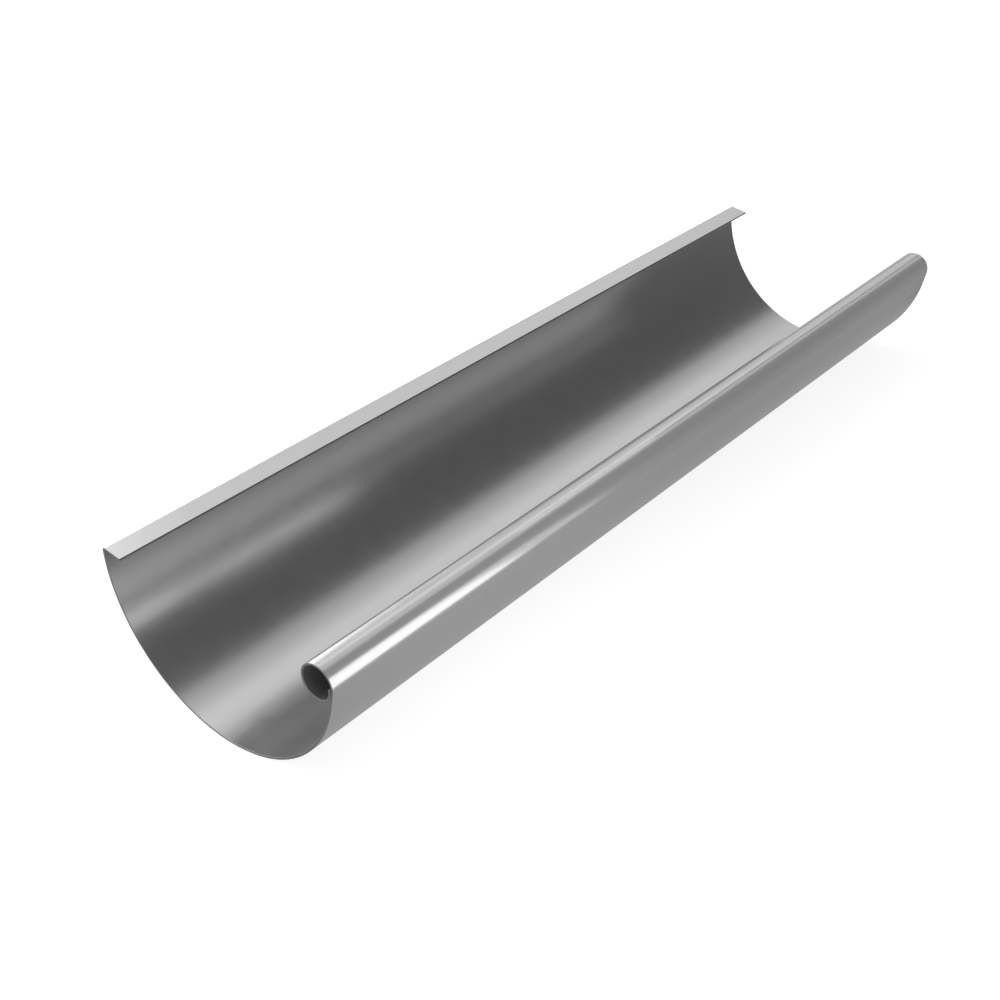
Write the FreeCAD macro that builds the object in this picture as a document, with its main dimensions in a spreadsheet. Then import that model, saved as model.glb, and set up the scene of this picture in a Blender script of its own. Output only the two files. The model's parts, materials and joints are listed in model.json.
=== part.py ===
"""Half-round eaves gutter: one straight length of roll-formed sheet metal.

One strip makes the whole section. The middle is the half-round trough. The front edge is
rolled inwards into a round bead, and the free lip of the roll is tucked up inside the bead,
just clear of the front wall. The rear edge is folded inwards into a narrow flange that falls
a little towards the trough.

X runs along the gutter, the bead is on the -Y side and +Z is up. The section is drawn
upright about the centre of the trough's arc. The finished gutter is then rolled about X to
where it lies by itself on a level floor, with its centre of mass straight below the centre
of the arc, so the heavier bead side is the lower one. The origin is the middle of the
gutter's box, at floor level.
"""
import FreeCAD, Part
import math
import os

import Sketcher
from FreeCAD import Placement, Rotation, Vector

NODE = "gutter"

# Driving dimensions, in millimetres and degrees.
SIZES = {
    # cut length of the piece
    "length": 563.0,
    # thickness of the sheet
    "sheet_thickness": 1.2,
    # inside diameter of the trough
    "trough_bore": 153.0,
    # angle below the height of the arc's centre at which the arc ends in front
    "front_arc_end": 11.0,
    # straight wall between the trough's arc and the bead
    "front_straight": 7.7,
    # outside diameter of the rolled bead
    "bead_diameter": 19.7,
    # angle below the bead's centre at which the roll tightens into the lip
    "lip_start": 80.0,
    # angle above the lip's own centre at which the lip ends
    "lip_end": 16.0,
    # clearance between the tucked lip and the front wall
    "lip_gap": 0.2,
    # inside radius of the rear fold
    "fold_radius": 0.7,
    # height of the rear fold's top above the arc's centre
    "fold_height": 1.1,
    # width of the rear flange, from the outer face of the trough to the tip
    "flange_width": 12.9,
    # fall of the flange towards the trough
    "flange_fall": 8.0,
}

# Sizes worked out from the sheet, as expressions for the sketch's dimensions.
TROUGH_RADIUS = "(Sizes.trough_bore / 2 + Sizes.sheet_thickness)"
BEAD_RADIUS = "(Sizes.bead_diameter / 2)"
FOLD_RADIUS = "(Sizes.fold_radius + Sizes.sheet_thickness)"

# The sketcher's numbers for the points of an edge, and for its root point.
START, END, CENTRE = 1, 2, 3
ROOT = (-1, 1)


def make_sizes_sheet(doc):
    """Spreadsheet that holds each driving dimension under its own alias."""
    sheet = doc.addObject("Spreadsheet::Sheet", "Sizes")
    for row, (alias, value) in enumerate(SIZES.items(), start=1):
        sheet.set(f"A{row}", alias)
        sheet.set(f"B{row}", str(value))
        sheet.setAlias(f"B{row}", alias)
    doc.recompute()
    return sheet


def polar(radius, angle):
    """Point of the section at this radius and angle."""
    return Vector(radius * math.cos(angle), radius * math.sin(angle), 0)


def add_arc(sketch, centre, radius, start, end):
    """Arc that runs counterclockwise from the start angle to the end angle."""
    circle = Part.Circle(centre, Vector(0, 0, 1), radius)
    return sketch.addGeometry(Part.ArcOfCircle(circle, start, end), False)


def add_line(sketch, start, end, construction=False):
    """Straight edge, or a construction line that isn't part of the outline."""
    return sketch.addGeometry(Part.LineSegment(start, end), construction)


def relate(sketch, kind, *where):
    """Geometric constraint, such as a tangency or a shared point."""
    return sketch.addConstraint(Sketcher.Constraint(kind, *where))


def draw_face(sketch, sizes, depth):
    """One face of the sheet round the whole section, depth below the outer face.

    All its curves turn the same way, so the faces share their centres. Each curve starts
    tangent to the one before it, from the tip of the flange round to the end of the lip.
    """
    trough_radius = sizes.trough_bore / 2 + sizes.sheet_thickness
    bead_radius = sizes.bead_diameter / 2
    fold_radius = sizes.fold_radius + sizes.sheet_thickness

    # The front wall leaves the trough at this angle and carries the bead on its top end.
    wall = math.pi + math.radians(sizes.front_arc_end)
    upward = wall - math.pi / 2
    bead_centre = polar(trough_radius - bead_radius, wall) + polar(sizes.front_straight, upward)

    # The roll tightens at the foot of the bead just enough for the lip to miss the wall.
    lip_start = math.pi + math.radians(sizes.lip_start)
    lip_end = math.pi - math.radians(sizes.lip_end)
    lip_taken = (sizes.sheet_thickness + sizes.lip_gap) / (1 - math.cos(lip_start - wall))
    lip_centre = bead_centre + polar(lip_taken, lip_start)
    lip_radius = bead_radius - lip_taken

    # The fold rests against the inside of the trough's circle at the rear.
    fold_distance = trough_radius - fold_radius
    rear = math.asin((sizes.fold_height - fold_radius) / fold_distance)
    fold_centre = polar(fold_distance, rear)

    # The flange runs inwards from the top of the fold and falls towards the trough.
    fall = math.radians(sizes.flange_fall)
    square = math.pi / 2 + fall
    flange_root = fold_centre + polar(fold_radius, square)
    flange_reach = flange_root.x - (trough_radius - sizes.flange_width)
    flange_tip = flange_root + polar(flange_reach / math.cos(fall), math.pi + fall)
    below = polar(-depth, square)

    wall_foot = polar(trough_radius - depth, wall)
    wall_top = bead_centre + polar(bead_radius - depth, wall)
    face = {
        "flange": add_line(sketch, flange_tip + below, flange_root + below),
        "fold": add_arc(sketch, fold_centre, fold_radius - depth, rear, square),
        "trough": add_arc(sketch, Vector(), trough_radius - depth, wall, rear),
        "wall": add_line(sketch, wall_foot, wall_top),
        "bead": add_arc(sketch, bead_centre, bead_radius - depth, lip_start, wall),
        "lip": add_arc(sketch, lip_centre, lip_radius - depth, lip_end, lip_start),
    }
    relate(sketch, "Tangent", face["flange"], END, face["fold"], END)
    relate(sketch, "Tangent", face["fold"], START, face["trough"], END)
    relate(sketch, "Tangent", face["trough"], START, face["wall"], START)
    relate(sketch, "Tangent", face["wall"], END, face["bead"], END)
    relate(sketch, "Tangent", face["bead"], START, face["lip"], END)
    return face


def draw_section(sketch, sizes):
    """Closed outline of the sheet: its two faces and its two cut edges."""
    outer = draw_face(sketch, sizes, 0.0)
    inner = draw_face(sketch, sizes, sizes.sheet_thickness)
    relate(sketch, "Coincident", outer["trough"], CENTRE, *ROOT)
    for name in ("fold", "trough", "bead", "lip"):
        relate(sketch, "Coincident", inner[name], CENTRE, outer[name], CENTRE)

    cut = {}
    for name in ("flange", "lip"):
        cut[name] = add_line(
            sketch,
            sketch.getPoint(inner[name], START),
            sketch.getPoint(outer[name], START),
        )
        relate(sketch, "Coincident", cut[name], START, inner[name], START)
        relate(sketch, "Coincident", cut[name], END, outer[name], START)
    relate(sketch, "Perpendicular", cut["flange"], outer["flange"])
    relate(sketch, "PointOnObject", outer["lip"], CENTRE, cut["lip"])

    # Ray from the foot of the bead to its centre, which carries the angle of that point.
    cut["lip_ray"] = add_line(
        sketch,
        sketch.getPoint(outer["bead"], START),
        sketch.getPoint(outer["bead"], CENTRE),
        construction=True,
    )
    relate(sketch, "Coincident", cut["lip_ray"], START, outer["bead"], START)
    relate(sketch, "Coincident", cut["lip_ray"], END, outer["bead"], CENTRE)
    return outer, inner, cut


def drive(sketch, name, kind, where, expression):
    """Dimension of the sketch that follows the sizes sheet."""
    value = sketch.evalExpression(expression)
    if kind == "Angle":
        value = math.radians(value)
    index = sketch.addConstraint(Sketcher.Constraint(kind, *where, value))
    sketch.renameConstraint(index, name)
    sketch.setExpression(f"Constraints.{name}", expression)


def dimension_section(sketch, outer, inner, cut):
    """Dimensions that leave the outline no freedom."""
    thickness = "Sizes.sheet_thickness"
    narrowing = "(1 - cos((Sizes.lip_start - Sizes.front_arc_end) * 1 deg))"
    lip_radius = f"{BEAD_RADIUS} - ({thickness} + Sizes.lip_gap) / {narrowing}"

    drive(sketch, "trough_outside", "Radius", [outer["trough"]], TROUGH_RADIUS)
    drive(sketch, "trough_inside", "Radius", [inner["trough"]], f"{TROUGH_RADIUS} - {thickness}")
    drive(sketch, "bead_outside", "Radius", [outer["bead"]], BEAD_RADIUS)
    drive(sketch, "bead_inside", "Radius", [inner["bead"]], f"{BEAD_RADIUS} - {thickness}")
    drive(sketch, "fold_outside", "Radius", [outer["fold"]], FOLD_RADIUS)
    drive(sketch, "flange_thickness", "Distance", [cut["flange"]], thickness)
    drive(sketch, "lip_outside", "Radius", [outer["lip"]], lip_radius)

    drive(sketch, "wall_length", "Distance", [outer["wall"]], "Sizes.front_straight")
    drive(sketch, "wall_slope", "Angle", [outer["wall"]], "90 + Sizes.front_arc_end")
    drive(sketch, "lip_foot", "Angle", [cut["lip_ray"]], "Sizes.lip_start")
    drive(sketch, "lip_edge", "Angle", [cut["lip"]], "180 - Sizes.lip_end")
    drive(sketch, "flange_slope", "Angle", [outer["flange"]], "Sizes.flange_fall")
    drive(
        sketch,
        "fold_centre_height",
        "DistanceY",
        [*ROOT, outer["fold"], CENTRE],
        f"Sizes.fold_height - {FOLD_RADIUS}",
    )
    drive(
        sketch,
        "flange_tip_distance",
        "DistanceX",
        [*ROOT, outer["flange"], START],
        f"{TROUGH_RADIUS} - Sizes.flange_width",
    )


def make_gutter(doc, sizes):
    """The roll-formed sheet: its section, carried along the whole length."""
    body = doc.addObject("PartDesign::Body", "Gutter")
    body.Label = NODE
    plane = next(item for item in body.Origin.OriginFeatures if item.Role == "YZ_Plane")
    sketch = body.newObject("Sketcher::SketchObject", "Section")
    sketch.AttachmentSupport = [(plane, "")]
    sketch.MapMode = "FlatFace"
    dimension_section(sketch, *draw_section(sketch, sizes))
    doc.recompute()

    pad = body.newObject("PartDesign::Pad", "Length")
    pad.Profile = sketch
    pad.SideType = "Symmetric"
    pad.setExpression("Length", "Sizes.length")
    doc.recompute()
    if not sketch.FullyConstrained:
        raise RuntimeError("the section's dimensions don't fix its outline")
    return body


def lay_down(body):
    """Roll the gutter to where it rests, and set it on the floor about the origin."""
    centre_of_mass = body.Shape.CenterOfMass
    roll = math.degrees(math.atan2(-centre_of_mass.y, -centre_of_mass.z))
    turn = Placement(Vector(), Rotation(Vector(1, 0, 0), roll))
    rolled = body.Shape.copy()
    rolled.Placement = turn
    box = rolled.optimalBoundingBox(False)
    body.Placement = Placement(Vector(0, -box.Center.y, -box.ZMin), turn.Rotation)


def check(doc, body):
    """Stop before anything is written if a feature or the solid has failed."""
    for item in doc.Objects:
        if "Invalid" in item.State or "Error" in item.State:
            raise RuntimeError(f"{item.Name} failed: {item.State}")
    if body.Shape.isNull() or not body.Shape.isValid() or len(body.Shape.Solids) != 1:
        raise RuntimeError(f"{body.Label} isn't one valid solid")


def main():
    """Build the gutter, check it and write its STEP file."""
    doc = FreeCAD.newDocument("HalfRoundGutter")
    sizes = make_sizes_sheet(doc)
    gutter = make_gutter(doc, sizes)
    lay_down(gutter)
    doc.recompute()
    check(doc, gutter)
    os.makedirs("parts", exist_ok=True)
    gutter.Shape.exportStep(f"parts/{NODE}.step")


main()
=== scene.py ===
"""Studio picture of one length of half-round metal eaves gutter.

The gutter is one roll-formed sheet, made here as a surface: the section of the sheet is
worked out along its own path and carried along the length. It lies on a pale floor, rolled
towards its heavier bead side, as it comes to rest. The camera is turned by the same roll,
so the gutter stands upright in the picture.
"""

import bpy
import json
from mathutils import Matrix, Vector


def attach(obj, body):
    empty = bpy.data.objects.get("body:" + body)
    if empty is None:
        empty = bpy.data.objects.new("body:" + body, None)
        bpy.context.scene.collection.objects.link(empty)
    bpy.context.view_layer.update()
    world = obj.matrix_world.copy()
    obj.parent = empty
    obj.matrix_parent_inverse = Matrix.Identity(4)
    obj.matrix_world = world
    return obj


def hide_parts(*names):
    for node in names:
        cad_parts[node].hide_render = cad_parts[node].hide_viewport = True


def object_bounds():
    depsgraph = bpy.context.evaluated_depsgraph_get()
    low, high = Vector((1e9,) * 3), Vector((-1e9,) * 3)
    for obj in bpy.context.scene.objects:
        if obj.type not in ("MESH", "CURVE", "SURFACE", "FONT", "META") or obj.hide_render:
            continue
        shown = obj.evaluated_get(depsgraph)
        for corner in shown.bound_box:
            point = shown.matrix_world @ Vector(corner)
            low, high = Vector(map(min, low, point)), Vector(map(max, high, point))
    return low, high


bl_info = {
    "name": "Half-round gutter studio",
    "version": (1, 0, 0),
    "blender": (4, 5, 0),
    "location": "View3D > Sidebar > Gutter",
    "description": "Makes a length of half-round gutter and the studio that it is shown in",
    "category": "Object",
}

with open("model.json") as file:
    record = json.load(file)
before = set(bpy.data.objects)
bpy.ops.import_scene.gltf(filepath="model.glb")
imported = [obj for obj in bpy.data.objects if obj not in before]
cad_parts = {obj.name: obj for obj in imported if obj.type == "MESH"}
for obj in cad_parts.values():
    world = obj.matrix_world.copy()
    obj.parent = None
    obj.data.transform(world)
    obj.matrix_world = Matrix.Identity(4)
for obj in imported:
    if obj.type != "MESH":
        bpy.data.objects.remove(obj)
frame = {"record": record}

import json
import math

import bpy
import numpy as np
from bpy.props import FloatProperty, FloatVectorProperty, PointerProperty, StringProperty
from mathutils import Matrix, Vector

MM = 0.001
CAD_BOX = [list(corner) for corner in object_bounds()]
MOUNTS = {mount["name"]: mount for mount in frame["record"]["mounts"]}
ARC_CENTRE = MOUNTS["bracket_seat"]["pos_m"]

# How finely the sheet is divided: turn and length of a step round the section, rings along
# the length, rows of points on a rounded edge, and the distance that all other points keep
# from the edge, in roundings.
TURN_STEP = math.radians(2.5)
LINE_STEP = 2.0 * MM
RINGS = 41
EDGE_ROWS = 4
EDGE_CLEARANCE = 1.5
# Faces that tilt more than this from the sheet's own face are part of a cut edge.
EDGE_TILT = math.radians(30.0)

# Sizes of the sheet's faint patterns. Real forming streaks are about 0.1 mm wide, too fine to
# show here, so they are drawn ten times as wide.
STREAK_LENGTH = 80.0 * MM
STREAK_WIDTH = 1.1 * MM
FLAT_SPANGLE = 12.0 * MM
EDGE_TEAR = 0.5 * MM
# What the streaks and the flat spangle add up to at least and at most, and how far they
# change the roughness and the tint each way.
PATTERN_SPAN = (0.7, 1.3)
ROUGHNESS_SPREAD = 0.02
TINT_SPREAD = 0.015
# Height of the streaks in the bump, and how many times as high the spangle stands.
PRESSED_HEIGHT = 0.001 * MM
SPANGLE_WEIGHT = 6.0
# The torn edge's noise, and the roughness that it is spread over.
TEAR_SPAN = (0.3, 0.7)
EDGE_ROUGHNESS = (0.4, 0.6)

WHITE = (1.0, 1.0, 1.0, 1.0)
# Nearest and farthest that the camera sees, in metres.
CLIP = (0.01, 100.0)


def linear(hex_colour):
    """sRGB hex colour, such as #8A8C8C, as linear red, green, blue and alpha."""
    values = [int(hex_colour[i:i + 2], 16) / 255 for i in (1, 3, 5)]
    channels = [v / 12.92 if v <= 0.04045 else ((v + 0.055) / 1.055) ** 2.4 for v in values]
    return (*channels, 1.0)


class GutterProperties(bpy.types.PropertyGroup):
    """Sizes and finish of the roll-formed sheet."""

    sheet_thickness: FloatProperty(
        name="Sheet thickness", description="Thickness of the sheet",
        default=1.2 * MM, unit="LENGTH")
    trough_bore: FloatProperty(
        name="Trough bore", description="Inside diameter of the trough",
        default=153.0 * MM, unit="LENGTH")
    front_arc_end: FloatProperty(
        name="Front arc end",
        description="Angle below the arc's centre at which the arc ends in front",
        default=math.radians(11.0), subtype="ANGLE")
    front_straight: FloatProperty(
        name="Front straight", description="Straight wall between the arc and the bead",
        default=7.7 * MM, unit="LENGTH")
    bead_diameter: FloatProperty(
        name="Bead diameter", description="Outside diameter of the rolled bead",
        default=19.7 * MM, unit="LENGTH")
    lip_start: FloatProperty(
        name="Lip start", description="Angle below the bead's centre at which the roll tightens",
        default=math.radians(80.0), subtype="ANGLE")
    lip_end: FloatProperty(
        name="Lip end", description="Angle above the lip's own centre at which the lip ends",
        default=math.radians(16.0), subtype="ANGLE")
    lip_gap: FloatProperty(
        name="Lip gap", description="Clearance between the tucked lip and the front wall",
        default=0.2 * MM, unit="LENGTH")
    fold_radius: FloatProperty(
        name="Fold radius", description="Inside radius of the rear fold",
        default=0.7 * MM, unit="LENGTH")
    fold_height: FloatProperty(
        name="Fold height", description="Height of the rear fold's top above the arc's centre",
        default=1.1 * MM, unit="LENGTH")
    flange_width: FloatProperty(
        name="Flange width", description="Width of the rear flange from the outer face to its tip",
        default=12.9 * MM, unit="LENGTH")
    flange_fall: FloatProperty(
        name="Flange fall", description="Fall of the flange towards the trough",
        default=math.radians(8.0), subtype="ANGLE")
    edge_rounding: FloatProperty(
        name="Edge rounding", description="Radius of the sheet's dressed edges",
        default=0.15 * MM, unit="LENGTH")
    metal: StringProperty(
        name="Metal", description="Colour of the zinc-coated face",
        default="#B2B2B2")
    roughness: FloatProperty(
        name="Roughness", description="Roughness of the satin face",
        default=0.25, min=0.0, max=1.0, subtype="FACTOR")
    bare_share: FloatProperty(
        name="Bare share",
        description="Share of the face that mirrors as bare metal, beside the dull passive film",
        default=0.8, min=0.0, max=1.0, subtype="FACTOR")
    edge_metal: StringProperty(
        name="Edge metal", description="Colour of the sheared edges, where the bare steel shows",
        default="#8E8F91")


class StudioProperties(bpy.types.PropertyGroup):
    """Camera, floor and light."""

    camera_place: FloatVectorProperty(
        name="Camera place",
        description="Camera from the near end of the arc's axis, gutter upright",
        default=(-323.014 * MM, -437.417 * MM, 402.984 * MM), subtype="XYZ", unit="LENGTH")
    camera_heading: FloatProperty(
        name="Camera heading",
        description="Direction of view about the vertical, from the gutter's length",
        default=math.radians(39.604), subtype="ANGLE")
    camera_dip: FloatProperty(
        name="Camera dip", description="Direction of view below the horizontal",
        default=math.radians(33.020), subtype="ANGLE")
    lens: FloatProperty(
        name="Lens", description="Focal length on a 36 mm frame, in millimetres",
        default=52.765)
    floor: StringProperty(
        name="Floor", description="Colour of the studio floor",
        default="#F4F4F4")
    fill: FloatProperty(
        name="Fill", description="Brightness of the surround as light on the gutter",
        default=0.6, min=0.0)
    shadow: FloatProperty(
        name="Shadow", description="Share of the shown floor that takes the gutter's shadow",
        default=0.3, min=0.0, max=1.0, subtype="FACTOR")


class Section:
    """Path of the sheet's outer face, from the tip of the flange round to the end of the lip.

    Each stretch has a length and a turn to the right. A point that is the distance a into a
    stretch of heading h and curvature k lies a * sinc(k * a / 2) from the stretch's start,
    in the direction h - k * a / 2. The same formula holds for lines, with k = 0.
    """

    def __init__(self, sizes):
        thickness = sizes.sheet_thickness
        trough = sizes.trough_bore / 2 + thickness
        bead = sizes.bead_diameter / 2
        fold = sizes.fold_radius + thickness
        closing = 1 - math.cos(sizes.lip_start - sizes.front_arc_end)
        lip = bead - (thickness + sizes.lip_gap) / closing
        rear = math.asin((sizes.fold_height - fold) / (trough - fold))
        fold_turn = math.pi / 2 + sizes.flange_fall - rear
        trough_turn = math.pi + rear - sizes.front_arc_end
        bead_turn = 2 * math.pi - (sizes.lip_start - sizes.front_arc_end)
        lip_turn = sizes.lip_start + sizes.lip_end
        root = (trough - fold) * math.cos(rear) - fold * math.sin(sizes.flange_fall)
        flange = (root - (trough - sizes.flange_width)) / math.cos(sizes.flange_fall)

        self.turns = np.array([0.0, fold_turn, trough_turn, 0.0, bead_turn, lip_turn])
        self.lengths = np.array([
            flange, fold * fold_turn, trough * trough_turn,
            sizes.front_straight, bead * bead_turn, lip * lip_turn,
        ])
        self.total = self.lengths.sum()
        self.curvatures = self.turns / self.lengths
        self.starts = np.concatenate([[0.0], np.cumsum(self.lengths)[:-1]])
        self.headings = sizes.flange_fall - np.concatenate([[0.0], np.cumsum(self.turns)[:-1]])
        steps = self.chord(self.headings, self.curvatures, self.lengths)
        corners = np.concatenate([[[0.0, 0.0]], np.cumsum(steps, axis=0)[:-1]])
        inward = self.headings[2] - math.pi / 2
        centre = corners[2] + trough * np.array([math.cos(inward), math.sin(inward)])
        self.corners = corners - centre

    @staticmethod
    def chord(heading, curvature, along):
        """Step from a stretch's start to the point at the distance along it."""
        half = curvature * along / 2
        reach = along * np.sinc(half / np.pi)
        return np.stack([reach * np.cos(heading - half), reach * np.sin(heading - half)], axis=-1)

    def stations(self, turn_step, line_step):
        """Distances along the path, close enough for smooth curves."""
        spans = []
        for start, length, turn in zip(self.starts, self.lengths, self.turns):
            count = math.ceil(turn / turn_step) if turn else math.ceil(length / line_step)
            spans.append(start + length * np.arange(count) / count)
        return np.concatenate(spans)[1:]

    def at(self, along):
        """Outer face at these distances: points, and directions along and into the sheet."""
        stretch = np.clip(np.searchsorted(self.starts, along, side="right") - 1, 0, None)
        local = along - self.starts[stretch]
        heading, curvature = self.headings[stretch], self.curvatures[stretch]
        points = self.corners[stretch] + self.chord(heading, curvature, local)
        heading = heading - curvature * local
        forward = np.stack([np.cos(heading), np.sin(heading)], axis=-1)
        inward = np.stack([np.sin(heading), -np.cos(heading)], axis=-1)
        return points, forward, inward


def rounded_range(start, end, middle, rounding):
    """Positions from start to end with both ends rounded, and the tilt of the surface at each.

    At the start the tilt t goes from -90 degrees, where the surface faces the start, to 0,
    at the position start + r * (1 - cos(90 + t)), and the end mirrors it.
    """
    turn = np.linspace(0.0, math.pi / 2, EDGE_ROWS)
    close = rounding * (1 - np.cos(turn))
    clear = rounding * EDGE_CLEARANCE
    middle = middle[(middle > start + clear) & (middle < end - clear)]
    places = np.concatenate([start + close, middle, end - close[::-1]])
    tilts = np.concatenate([turn - math.pi / 2, np.zeros(len(middle)), (math.pi / 2 - turn)[::-1]])
    return places, tilts


def end_strip(ring, count):
    """Quads between the outer points of an end ring and the inner points under them."""
    outer, inner = ring[:count], ring[:count - 1:-1]
    return np.stack([outer[:-1], outer[1:], inner[1:], inner[:-1]], axis=-1)


def sheet_surface(sizes, half_length):
    """Vertices, faces, normals, sheet coordinates and cut edges of the rolled sheet.

    The loop goes once round the cut section: along the outer face, round the lip's edge,
    back along the inner face and round the flange's edge. Rings of that loop stand along
    the length. A point lies under its face by r * (1 - cos(tilt)), for the larger tilt of
    its ring and its station, and the two ends are closed by strips between the two faces.
    """
    section = Section(sizes)
    rounding = sizes.edge_rounding
    bends = section.stations(TURN_STEP, LINE_STEP)
    along, tilt = rounded_range(0.0, section.total, bends, rounding)
    lengthwise = np.linspace(-half_length, half_length, RINGS)
    across, end_tilt = rounded_range(-half_length, half_length, lengthwise, rounding)

    points, forward, inward = section.at(along)
    depth = rounding * (1 - np.cos(np.maximum(abs(tilt)[None, :], abs(end_tilt)[:, None])))
    outer = points + depth[..., None] * inward
    inner = points + (sizes.sheet_thickness - depth)[..., None] * inward
    loop = np.concatenate([outer, inner[:, ::-1]], axis=1)

    edgeward = np.sin(tilt)[:, None] * forward
    outward = np.cos(tilt)[:, None] * inward
    facing = np.concatenate([edgeward - outward, (edgeward + outward)[::-1]])
    rings, round_loop = loop.shape[:2]
    vertices = np.concatenate(
        [np.broadcast_to(across[:, None, None], (rings, round_loop, 1)), loop], axis=-1)
    normals = np.concatenate(
        [np.broadcast_to(np.sin(end_tilt)[:, None, None], (rings, round_loop, 1)),
         np.cos(end_tilt)[:, None, None] * facing], axis=-1)

    number = np.arange(rings * round_loop).reshape(rings, round_loop)
    onward = np.roll(number, -1, axis=1)
    sides = np.stack([number[:-1], number[1:], onward[1:], onward[:-1]], axis=-1).reshape(-1, 4)
    near_end = end_strip(number[0], len(along))
    # The far end's quads run the other way round, to face outwards too.
    far_end = end_strip(number[-1], len(along))[:, [0, 3, 2, 1]]
    faces = np.concatenate([sides, near_end, far_end])

    # A side face is part of a cut edge by the mean tilt of its two stations or its two rings.
    round_tilt = abs(np.concatenate([tilt, tilt[::-1]]))
    round_tilt = (round_tilt + np.roll(round_tilt, -1)) / 2
    ring_tilt = abs(end_tilt[:-1] + end_tilt[1:]) / 2
    steep = np.maximum(ring_tilt[:, None], round_tilt[None, :]) > EDGE_TILT
    is_edge = np.concatenate([steep.ravel(), np.ones(len(near_end) + len(far_end), dtype=bool)])

    strip = np.concatenate([along, along[::-1]])
    sheet_uv = np.stack(np.broadcast_arrays(across[:, None], strip[None, :]), axis=-1)
    return (vertices.reshape(-1, 3), faces, normals.reshape(-1, 3),
            sheet_uv.reshape(-1, 2), is_edge)


def rest_roll(sizes):
    """Roll of the resting gutter: the bead's direction from the arc's centre, against upright.

    Upright, the bead's centre is reached by the wall's foot angle, the distance to the bead
    inside the arc and the front straight, square to it.
    """
    trough = sizes.trough_bore / 2 + sizes.sheet_thickness
    bead = sizes.bead_diameter / 2
    upright = math.pi + sizes.front_arc_end - math.atan2(sizes.front_straight, trough - bead)
    hook = MOUNTS["bead_hook"]["pos_m"]
    resting = math.atan2(hook[2] - ARC_CENTRE[2], hook[1] - ARC_CENTRE[1])
    return (resting - upright) % (2 * math.pi)


def turned(points, roll):
    """Points or directions of the upright gutter, turned about its length by the roll."""
    y, z = points[..., 1], points[..., 2]
    return np.stack([points[..., 0], y * math.cos(roll) - z * math.sin(roll),
                     y * math.sin(roll) + z * math.cos(roll)], axis=-1)


def make_object(name, vertices, faces):
    """New mesh object at the origin, with its place in its mesh."""
    mesh = bpy.data.meshes.new(name)
    mesh.from_pydata(vertices.tolist(), [], faces.tolist())
    piece = bpy.data.objects.new(name, mesh)
    bpy.context.scene.collection.objects.link(piece)
    return piece


def add_node(tree, kind, inputs=(), **settings):
    """Adds a shader node with its settings, and its sockets' values or links."""
    node = tree.nodes.new(kind)
    for key, value in settings.items():
        setattr(node, key, value)
    for socket, value in dict(inputs).items():
        if isinstance(value, bpy.types.NodeSocket):
            tree.links.new(value, node.inputs[socket])
        else:
            node.inputs[socket].default_value = value
    return node


def spread(tree, value, span, to):
    """Value carried from its span, low to high, to another, and held inside it."""
    node = add_node(tree, "ShaderNodeMapRange", {
        "Value": value, "From Min": span[0], "From Max": span[1],
        "To Min": to[0], "To Max": to[1]})
    return node.outputs["Result"]


def new_material(name):
    """New material and its node tree, emptied."""
    material = bpy.data.materials.new(name)
    material.use_nodes = True
    material.node_tree.nodes.clear()
    return material, material.node_tree


def satin_galvanised_sheet(sizes):
    """Skin-passed galvanised steel sheet.

    A last light pass between matted rolls presses the zinc's spangle flat and leaves an even
    satin face, so the highlights are soft-edged bands with no sparkle. The roll-forming
    stands draw very faint streaks along the length.
    """
    material, tree = new_material("skin_passed_galvanised_steel")
    sheet = add_node(tree, "ShaderNodeUVMap", uv_map="sheet")
    along = add_node(tree, "ShaderNodeMapping", {
        "Vector": sheet.outputs["UV"], "Scale": (1 / STREAK_LENGTH, 1 / STREAK_WIDTH, 1.0)})
    streak = add_node(tree, "ShaderNodeTexNoise", {
        "Vector": along.outputs["Vector"], "Scale": 1.0, "Detail": 3.0})
    patch = add_node(tree, "ShaderNodeTexNoise", {
        "Vector": sheet.outputs["UV"], "Scale": 1 / FLAT_SPANGLE, "Detail": 2.0})
    mixed = add_node(tree, "ShaderNodeMath", {
        0: streak.outputs["Fac"], 1: patch.outputs["Fac"]}, operation="ADD")
    rough = spread(
        tree, mixed.outputs["Value"], PATTERN_SPAN,
        (sizes.roughness - ROUGHNESS_SPREAD, sizes.roughness + ROUGHNESS_SPREAD))
    shade = spread(
        tree, mixed.outputs["Value"], PATTERN_SPAN, (1 - TINT_SPREAD, 1 + TINT_SPREAD))
    tint = add_node(tree, "ShaderNodeVectorMath", {
        0: linear(sizes.metal)[:3], "Scale": shade}, operation="SCALE")
    height = add_node(tree, "ShaderNodeMath", {
        0: patch.outputs["Fac"], 1: SPANGLE_WEIGHT, 2: streak.outputs["Fac"]},
        operation="MULTIPLY_ADD")
    pressed = add_node(tree, "ShaderNodeBump", {
        "Height": height.outputs["Value"], "Distance": PRESSED_HEIGHT, "Strength": 1.0})
    metal = add_node(tree, "ShaderNodeBsdfPrincipled", {
        "Base Color": tint.outputs["Vector"], "Metallic": sizes.bare_share,
        "Roughness": rough, "Normal": pressed.outputs["Normal"]})
    add_node(tree, "ShaderNodeOutputMaterial", {"Surface": metal.outputs["BSDF"]})
    return material


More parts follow.
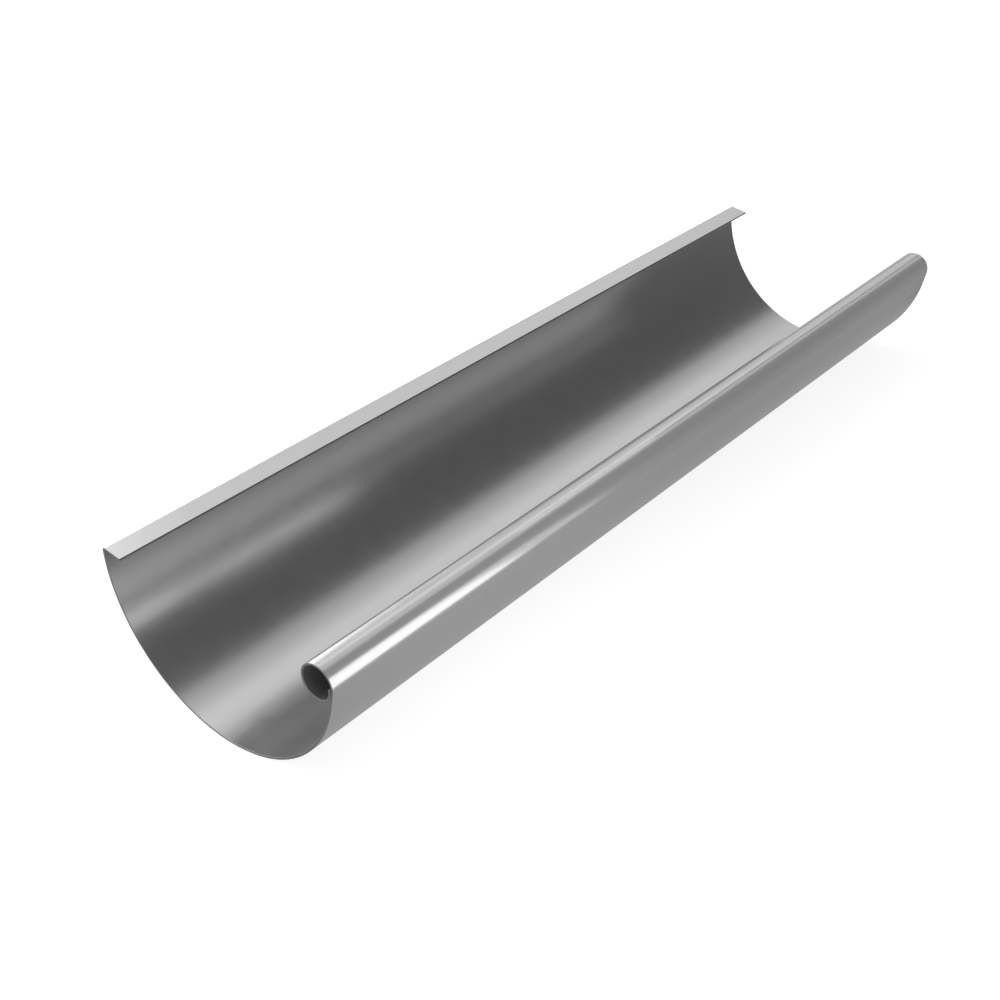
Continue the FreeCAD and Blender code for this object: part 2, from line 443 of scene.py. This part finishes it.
def sheared_edge(sizes):
    """Bare steel where the shear cut the sheet.

    The cut is torn and dull, so the edges draw thin grey lines round the bright sheet.
    """
    material, tree = new_material("sheared_steel_edge")
    place = add_node(tree, "ShaderNodeTexCoord")
    tear = add_node(tree, "ShaderNodeTexNoise", {
        "Vector": place.outputs["Object"], "Scale": 1 / EDGE_TEAR, "Detail": 1.0})
    rough = spread(tree, tear.outputs["Fac"], TEAR_SPAN, EDGE_ROUGHNESS)
    metal = add_node(tree, "ShaderNodeBsdfPrincipled", {
        "Base Color": linear(sizes.edge_metal), "Metallic": 1.0, "Roughness": rough})
    add_node(tree, "ShaderNodeOutputMaterial", {"Surface": metal.outputs["BSDF"]})
    return material


class OBJECT_OT_gutter_sheet(bpy.types.Operator):
    """Makes the roll-formed sheet of the gutter"""

    bl_idname = "object.gutter_sheet"
    bl_label = "Gutter sheet"

    def execute(self, context):
        sizes = context.scene.gutter
        half_length = CAD_BOX[1][0]
        vertices, faces, normals, sheet_uv, is_edge = sheet_surface(sizes, half_length)
        roll = rest_roll(sizes)
        vertices = turned(vertices, roll) + [0.0, ARC_CENTRE[1], ARC_CENTRE[2]]
        piece = make_object("gutter_sheet", vertices, faces)
        mesh = piece.data
        uv_map = mesh.uv_layers.new(name="sheet")
        uv_map.data.foreach_set("uv", sheet_uv[faces.ravel()].ravel())
        mesh.shade_smooth()
        mesh.normals_split_custom_set_from_vertices(turned(normals, roll).tolist())
        mesh.materials.append(satin_galvanised_sheet(sizes))
        mesh.materials.append(sheared_edge(sizes))
        mesh.polygons.foreach_set("material_index", is_edge.astype(np.int32))
        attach(piece, "root")
        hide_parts("gutter")
        return {"FINISHED"}


def background_ray(tree):
    """1 for rays that show the background: the camera's, and those in gloss and glass."""
    path = add_node(tree, "ShaderNodeLightPath")
    mirrored = add_node(tree, "ShaderNodeMath", {
        0: path.outputs["Is Camera Ray"], 1: path.outputs["Is Glossy Ray"]}, operation="MAXIMUM")
    shown = add_node(tree, "ShaderNodeMath", {
        0: mirrored.outputs["Value"], 1: path.outputs["Is Transmission Ray"]},
        operation="MAXIMUM")
    return shown.outputs["Value"]


# Place across the gutter where the flags hang, in millimetres: straight above the bead's
# outer half, so the trough's inside mirrors them, and the bead and the outer wall don't.
FLAG_PLANE = -72.0

# Panels that run along the gutter, each with its name, its ends along the length and its two
# long edges, across the length and up, in millimetres, and its brightness, where white paper
# is 1.
SOFTBOXES = (
    ("low_strip", (-300.0, -80.0), (-150.0, 0.0), (-285.0, 125.0), 2.05),
    ("strip_end", (-80.0, 0.0), (-150.0, 0.0), (-285.0, 125.0), 0.6),
    ("overhead_box", (-1500.0, 2930.0), (0.0, 1990.0), (925.0, 2230.0), 0.52),
    ("rear_box", (-1500.0, 810.0), (990.0, 2320.0), (1740.0, 40.0), 2.4),
)
# The cards glow with fixed tones and show in the metal alone: painted reflections, painted shade
# where darker than the white surround and painted light where brighter.
CARDS = (
    # Lying on the floor, this card glows grey where the floor shows white: painted shade of the
    # floor, mirrored in the outer wall.
    ("floor_shade_card", (-1500.0, 3500.0), (-600.0, 0.2), (400.0, 0.2), 0.46),
    ("grey_wall", (-1500.0, 3500.0), (-600.0, 0.0), (-945.0, 2100.0), 0.4),
    ("bead_flag", (-1015.0, 1165.0), (FLAG_PLANE, 85.0), (FLAG_PLANE, 335.0), 0.09),
    ("flag_foot", (-15.0, 1165.0), (FLAG_PLANE, 71.0), (FLAG_PLANE, 85.0), 0.09),
    ("flag_top", (-820.0, 1200.0), (FLAG_PLANE, 335.0), (FLAG_PLANE, 530.0), 0.77),
    ("gap_card", (-145.0, -30.0), (FLAG_PLANE, 67.0), (FLAG_PLANE, 81.0), 1.5),
    ("end_flag", (285.0, 555.0), (FLAG_PLANE, 0.0), (FLAG_PLANE, 71.0), 0.09),
    ("end_middle", (285.0, 620.0), (-20.0, 0.0), (-20.0, 60.0), 0.12),
    ("rear_grey", (810.0, 3000.0), (930.0, 660.0), (1205.0, 200.0), 0.37),
)
# The floor reaches far enough that the camera doesn't see its edges.
FLOOR = ((-6000.0, 6000.0), (-6000.0, 0.0), (6000.0, 0.0))


def panel_corners(ends, near, far):
    """Corners, in metres, of a panel between its ends and its two long edges."""
    start, end = ends
    return np.array([(start, *near), (end, *near), (end, *far), (start, *far)]) * MM


def make_softbox(name, corners, brightness):
    """Area lamp on these four corners.

    An area lamp as bright as white paper gives pi watts a square metre.
    """
    wide, high = Vector(corners[1] - corners[0]), Vector(corners[3] - corners[0])
    light = bpy.data.lights.new(name, "AREA")
    light.shape = "RECTANGLE"
    light.size, light.size_y = wide.length, high.length
    light.energy = brightness * math.pi * light.size * light.size_y
    axes = (wide.normalized(), high.normalized(), wide.cross(high).normalized())
    lamp = bpy.data.objects.new(name, light)
    middle = Matrix.Translation(Vector(corners.mean(axis=0)))
    lamp.matrix_world = middle @ Matrix(axes).transposed().to_4x4()
    bpy.context.scene.collection.objects.link(lamp)


def card_material(name, tone):
    """Glowing card, lit by no lamp: its fixed tone is a painted reflection, an even tone in the
    metal.
    """
    material, tree = new_material(name)
    material.cycles.emission_sampling = "NONE"
    glow = add_node(tree, "ShaderNodeEmission", {"Color": (tone, tone, tone, 1.0)})
    add_node(tree, "ShaderNodeOutputMaterial", {"Surface": glow.outputs["Emission"]})
    return material


def make_panel(name, corners, material):
    """Flat piece of one face on these four corners."""
    panel = make_object(name, corners, np.array([[0, 1, 2, 3]]))
    panel.data.materials.append(material)
    return panel


def make_card(name, corners, tone):
    """A card that shows in the metal alone: it hides from the camera and casts no shadow."""
    card = make_panel(name, corners, card_material(name, tone))
    card.visible_camera = False
    card.visible_diffuse = False
    card.visible_shadow = False


def floor_material(studio):
    """Matt studio floor: white to the eye and in the metal, but for the gutter's soft shadow."""
    material, tree = new_material("matt_studio_floor")
    material.cycles.emission_sampling = "NONE"
    matt = add_node(tree, "ShaderNodeBsdfDiffuse", {"Color": linear(studio.floor)})
    faint = add_node(tree, "ShaderNodeBsdfDiffuse", {
        "Color": (studio.shadow, studio.shadow, studio.shadow, 1.0)})
    # With the glow, half the light that makes paper white is enough to show the floor white.
    glow = add_node(tree, "ShaderNodeEmission", {
        "Color": WHITE, "Strength": 1 - studio.shadow / 2})
    shown = add_node(tree, "ShaderNodeAddShader", {
        0: faint.outputs["BSDF"], 1: glow.outputs["Emission"]})
    mixed = add_node(tree, "ShaderNodeMixShader", {
        0: background_ray(tree), 1: matt.outputs["BSDF"], 2: shown.outputs["Shader"]})
    add_node(tree, "ShaderNodeOutputMaterial", {"Surface": mixed.outputs["Shader"]})
    return material


def make_surround(studio):
    """White surround, which lights the gutter at the plain level of the fill."""
    world = bpy.data.worlds.new("studio")
    world.use_nodes = True
    tree = world.node_tree
    tree.nodes.clear()
    strength = spread(tree, background_ray(tree), (0.0, 1.0), (studio.fill, 1.0))
    back = add_node(tree, "ShaderNodeBackground", {"Color": WHITE, "Strength": strength})
    add_node(tree, "ShaderNodeOutputWorld", {"Surface": back.outputs["Background"]})
    return world


def make_camera(studio, roll):
    """Camera at its place and aim beside the upright gutter, turned with it by the roll."""
    head, dip = studio.camera_heading, studio.camera_dip
    forward = Vector((
        math.cos(dip) * math.cos(head), math.cos(dip) * math.sin(head), -math.sin(dip)))
    right = Vector((math.sin(head), -math.cos(head), 0.0))
    upward = right.cross(forward)
    aim = Matrix((right, upward, -forward)).transposed().to_4x4()
    place = Matrix.Translation(Vector((CAD_BOX[0][0], 0.0, 0.0)) + Vector(studio.camera_place))
    base = Matrix.Translation((0.0, ARC_CENTRE[1], ARC_CENTRE[2]))
    data = bpy.data.cameras.new("camera")
    data.lens = studio.lens
    data.clip_start, data.clip_end = CLIP
    camera = bpy.data.objects.new("camera", data)
    camera.matrix_world = base @ Matrix.Rotation(roll, 4, "X") @ place @ aim
    bpy.context.scene.collection.objects.link(camera)
    return camera


class SCENE_OT_gutter_studio(bpy.types.Operator):
    """Makes the floor, the light and the camera"""

    bl_idname = "scene.gutter_studio"
    bl_label = "Gutter studio"

    def execute(self, context):
        studio = context.scene.gutter_studio
        floor = make_panel("floor", panel_corners(*FLOOR), floor_material(studio))
        for name, ends, near, far, brightness in SOFTBOXES:
            make_softbox(name, panel_corners(ends, near, far), brightness)
        for name, ends, near, far, tone in CARDS:
            make_card(name, panel_corners(ends, near, far), tone)
        context.scene.world = make_surround(studio)
        context.scene.view_settings.view_transform = "Standard"
        context.scene.camera = make_camera(studio, rest_roll(context.scene.gutter))
        return {"FINISHED"}


class VIEW3D_PT_gutter(bpy.types.Panel):
    """Sidebar panel of the gutter and its studio"""

    bl_label = "Half-round gutter"
    bl_idname = "VIEW3D_PT_gutter"
    bl_space_type = "VIEW_3D"
    bl_region_type = "UI"
    bl_category = "Gutter"

    def draw(self, context):
        for group, operator in (
                (context.scene.gutter, OBJECT_OT_gutter_sheet),
                (context.scene.gutter_studio, SCENE_OT_gutter_studio)):
            column = self.layout.column()
            for name in group.__annotations__:
                column.prop(group, name)
            column.operator(operator.bl_idname)


CLASSES = (
    GutterProperties, StudioProperties,
    OBJECT_OT_gutter_sheet, SCENE_OT_gutter_studio, VIEW3D_PT_gutter,
)


def register():
    for cls in CLASSES:
        bpy.utils.register_class(cls)
    bpy.types.Scene.gutter = PointerProperty(type=GutterProperties)
    bpy.types.Scene.gutter_studio = PointerProperty(type=StudioProperties)


def unregister():
    del bpy.types.Scene.gutter_studio
    del bpy.types.Scene.gutter
    for cls in reversed(CLASSES):
        bpy.utils.unregister_class(cls)


def main():
    """Makes the gutter and its studio."""
    register()
    bpy.ops.object.gutter_sheet()
    bpy.ops.scene.gutter_studio()


if __name__ == "__main__":
    main()
